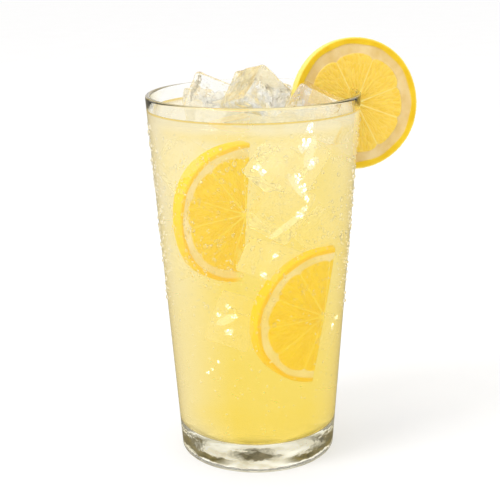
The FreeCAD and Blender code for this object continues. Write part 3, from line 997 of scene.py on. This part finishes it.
# %% sparkles
SPARKLES = [  # degrees round from the front, height, length and width in mm, tilt in degrees
    (31, 147, 3.0, 1.6, 80), (29, 141, 4.2, 2.6, 70), (34, 133, 3.0, 2.0, 60), (1, 133, 2.2, 1.5, 20),
    (5, 131, 2.2, 1.3, -40), (25, 128, 3.2, 1.6, -60), (28, 124, 3.6, 1.9, -60), (31, 119, 2.6, 1.4, -60),
    (30, 115, 2.0, 1.3, 30), (27, 113, 3.2, 1.9, 25), (12, 97, 1.6, 1.2, 30), (5, 89, 2.8, 1.7, -10),
    (-18, 64, 1.8, 1.6, 0), (-25, 71, 1.6, 1.2, 20), (-14, 71, 2.0, 1.3, -30), (-18, 75, 1.4, 1.1, 40),
    (61, 60, 2.4, 1.5, 40), (67, 63, 1.8, 1.3, 70), (-27, 50, 0.9, 0.8, 0), (-36, 44, 1.0, 0.8, 0),
    (-32, 46, 0.7, 0.6, 0), (96, 118, 3.0, 1.8, 50), (120, 92, 2.6, 1.6, -40), (148, 131, 3.4, 1.8, 60),
    (170, 74, 2.2, 1.6, 20), (-120, 126, 3.2, 1.7, -55), (-150, 98, 2.4, 1.7, 35), (-95, 84, 2.6, 1.5, 65)]


def sparkles(name, copies, low, high, seed):
    """Each sparkle is a few overlapping flakes strewn along its length, sized low to high shares of
    its width."""
    rng = np.random.default_rng(seed)
    rows = np.repeat(np.array(SPARKLES, float), copies, 0)
    count = len(rows)
    tilt = np.radians(rows[:, 4])
    slide = rng.uniform(-0.5, 0.5, count) * rows[:, 2] * MM
    sway = rng.uniform(-0.7, 0.7, count) * rows[:, 3] * MM
    height = rows[:, 1] * MM + slide * np.sin(tilt) + sway * np.cos(tilt)
    radius = inside(height) - rng.uniform(0.8, 1.6, count) * MM
    azimuth = np.radians(rows[:, 0]) + (slide * np.cos(tilt) - sway * np.sin(tilt)) / radius
    size = rows[:, 3] * MM * rng.uniform(low, high, count)
    frames = wall_frames(azimuth, size * rng.uniform(1, 1.9, count), size, size * 0.5,
                         tilt + rng.normal(0, 0.5, count))
    return scatter(name, on_wall(azimuth, height, radius), frames, rings=7, segments=12)


bright = new_material("painted_glint")
silver = mottled(bright, 0.001, paint(250, 246, 220), paint(255, 255, 252))
# Painted highlights: the flakes glow strongly.
finish_surface(bright, Base_Color=silver, Roughness=0.15, Emission_Color=silver, Emission_Strength=1.7)
add_piece("sparkles", sparkles("sparkles", 9, 0.07, 0.24, 4), bright, "ice")
add_piece("white_hearts", hearts(), soft_white("white_heart", paint(255, 252, 240), 0.36, 0.15), "ice")
add_piece("sparkle_halos", sparkles("sparkle_halos", 4, 0.35, 0.7, 5),
          soft_white("painted_glint_halo", paint(255, 253, 240), 0.28, 0.3), "ice")


# %% [markdown]
# Where the long edge of a sunk cube lies on the wall it catches the light as a pale bar. Each bar is a
# painted highlight: one long, flat, faintly glowing ball just inside the glass, soft at its sides like
# the halos.

# %% gleams
GLEAMS = [  # degrees round from the front, height, length and width in mm, tilt in degrees
    (19, 108.5, 17, 3.0, 33), (24, 125, 12, 3.0, -58), (-20, 69, 10, 4.0, 30),
    (33, 138, 14, 4.5, 72), (100, 112, 14, 3.0, 40), (140, 95, 12, 3.0, -35), (-110, 120, 15, 3.2, 25),
    (-160, 80, 12, 3.0, -50), (175, 125, 14, 3.4, 60)]


def gleams():
    """One flat ball for each row, lying along the inside of the wall."""
    rows = np.array(GLEAMS)
    azimuth, height = np.radians(rows[:, 0]), rows[:, 1] * MM
    length, width = rows[:, 2] / 2 * MM, rows[:, 3] / 2 * MM
    frames = wall_frames(azimuth, length, width, width * 0.4, np.radians(rows[:, 4]))
    centres = on_wall(azimuth, height, inside(height) - 2.6 * MM)
    return scatter("gleams", centres, frames, rings=9, segments=16)


add_piece("gleams", gleams(), soft_white("gleam", paint(255, 251, 226), 0.26, 0.3), "ice")


# %% [markdown]
# Fine shreds of pulp hang in the drink. Only those near the wall can be seen, so only they are made.


# %% pulp
def pulp_flecks():
    """Small shreds hanging in the outer centimetre of the drink."""
    rng, count = np.random.default_rng(21), 900
    azimuth = rng.uniform(0, 2 * np.pi, count)
    height = FLOOR + 2 * MM + rng.random(count) * (LEVEL - FLOOR - 4 * MM)
    radius = inside(height) - rng.uniform(0.9, 7.0, count) * MM
    size = rng.uniform(0.12, 0.38, count) * MM
    frames = wall_frames(azimuth, size * rng.uniform(1, 2.4, count), size, size,
                         rng.uniform(-1.5, 1.5, count))
    return scatter("pulp", on_wall(azimuth, height, radius), frames, rings=3, segments=6, rough=0.2)


shred = new_material("pulp")
finish_surface(shred, Base_Color=mottled(shred, 0.0015, paint(250, 228, 150), paint(255, 244, 202)),
               Roughness=0.5)
add_piece("pulp", pulp_flecks(), shred, "lemonade")

# %% [markdown]
# ## Floor, light and camera
# Clear things are drawn by what they mirror and bend. Under an even white sky they would vanish. So
# the sky is white to the eye and to plain surfaces, while mirror and bent rays also find a darker
# ceiling and dark cards, wide ones near the left-right line and narrow ones nearer front and back.


# %% stage
def make_floor():
    """A pale floor, wide enough to fill the view. In a mirror it looks darker: a white floor's
    reflection would lay a haze over the front of the glass."""
    mesh = make_mesh("floor", [(-6, -6, 0), (6, -6, 0), (6, 6, 0), (-6, 6, 0)], [(0, 1, 2, 3)])
    pale = new_material("pale_floor")
    path = node(pale, "ShaderNodeLightPath").outputs
    mirrored = calc(pale, "MULTIPLY", path["Is Reflection Ray"], path["Is Glossy Ray"])
    white = mottled(pale, 0.05, (0.98, 0.974, 0.97, 1), (0.99, 0.986, 0.984, 1))
    finish_surface(pale, Base_Color=blend(pale, mirrored, white, (0.3, 0.28, 0.22, 1)), Roughness=1.0,
                   Specular_IOR_Level=0.0)
    mesh.materials.append(pale)
    floor = place_in_scene("floor", mesh)


# %% sky
def make_world():
    """White to the eye and to plain surfaces; cards and a ceiling for mirror and bent rays."""
    world = bpy.data.worlds.new("studio")
    bpy.context.scene.world = world
    world.use_nodes = True
    world.node_tree.nodes.clear()
    node(world, "ShaderNodeOutputWorld")
    towards = node(world, "ShaderNodeTexCoord").outputs["Generated"]
    x, y, z = node(world, "ShaderNodeSeparateXYZ", _0=towards).outputs
    aside = calc(world, "ARCTAN2", calc(world, "ABSOLUTE", y), calc(world, "ABSOLUTE", x))

    def card_at(middle, half_width):
        """1 on the cards this many degrees from the left-right line, with edges 4 degrees soft."""
        off = calc(world, "ABSOLUTE", calc(world, "SUBTRACT", aside, math.radians(middle)))
        return spread(world, off, math.radians(half_width + 2), math.radians(half_width - 2))

    card = most(world, card_at(22.5, 13), calc(world, "MULTIPLY", card_at(60, 6), 0.75))
    ceiling = calc(world, "MULTIPLY", spread(world, z, 0.60, 0.80), 0.7)
    dark = most(world, calc(world, "MULTIPLY", card, 0.9), ceiling)
    path = node(world, "ShaderNodeLightPath").outputs
    mirror = most(world, path["Is Glossy Ray"], path["Is Transmission Ray"])
    direct = calc(world, "LESS_THAN", path["Diffuse Depth"], 0.5)
    amount = calc(world, "MULTIPLY", dark, calc(world, "MULTIPLY", mirror, direct))
    strength = calc(world, "SUBTRACT", 1.0, calc(world, "MULTIPLY", amount, 0.95))
    tint = blend(world, amount, WHITE, (1.0, 0.86, 0.5, 1))
    give_out(world, node(world, "ShaderNodeBackground", Color=tint, Strength=strength))


# %% lamp and camera
def add_softbox(name, place, size, power):
    """A square area light aimed at the middle of the glass."""
    data = bpy.data.lights.new(name, "AREA")
    data.shape, data.size, data.energy = "SQUARE", size, power
    lamp = place_in_scene(name, data)
    lamp.location = place
    aim = Vector((0, 0, HEIGHT / 2)) - Vector(place)
    lamp.rotation_euler = aim.to_track_quat("-Z", "Y").to_euler()


CAMERA_BACK, CAMERA_HEIGHT, CAMERA_PITCH, CAMERA_ROLL = 0.4723, 0.2229, 0.277, -0.014
SENSOR, LENS, SHIFT = 36.0, 82.56, -0.0106
camera_data = bpy.data.cameras.new("camera")
camera_data.sensor_width, camera_data.lens, camera_data.shift_x = SENSOR, LENS, SHIFT
camera = place_in_scene("camera", camera_data)
camera.location = (0, -CAMERA_BACK, CAMERA_HEIGHT)
aim = Matrix.Rotation(math.pi / 2 - CAMERA_PITCH, 3, "X") @ Matrix.Rotation(CAMERA_ROLL, 3, "Z")
camera.rotation_euler = aim.to_euler()
bpy.context.scene.camera = camera
bpy.context.scene.view_settings.view_transform = "Standard"
make_floor()
make_world()
add_softbox("key", (-0.6, -0.35, 0.9), 0.35, 3.6)
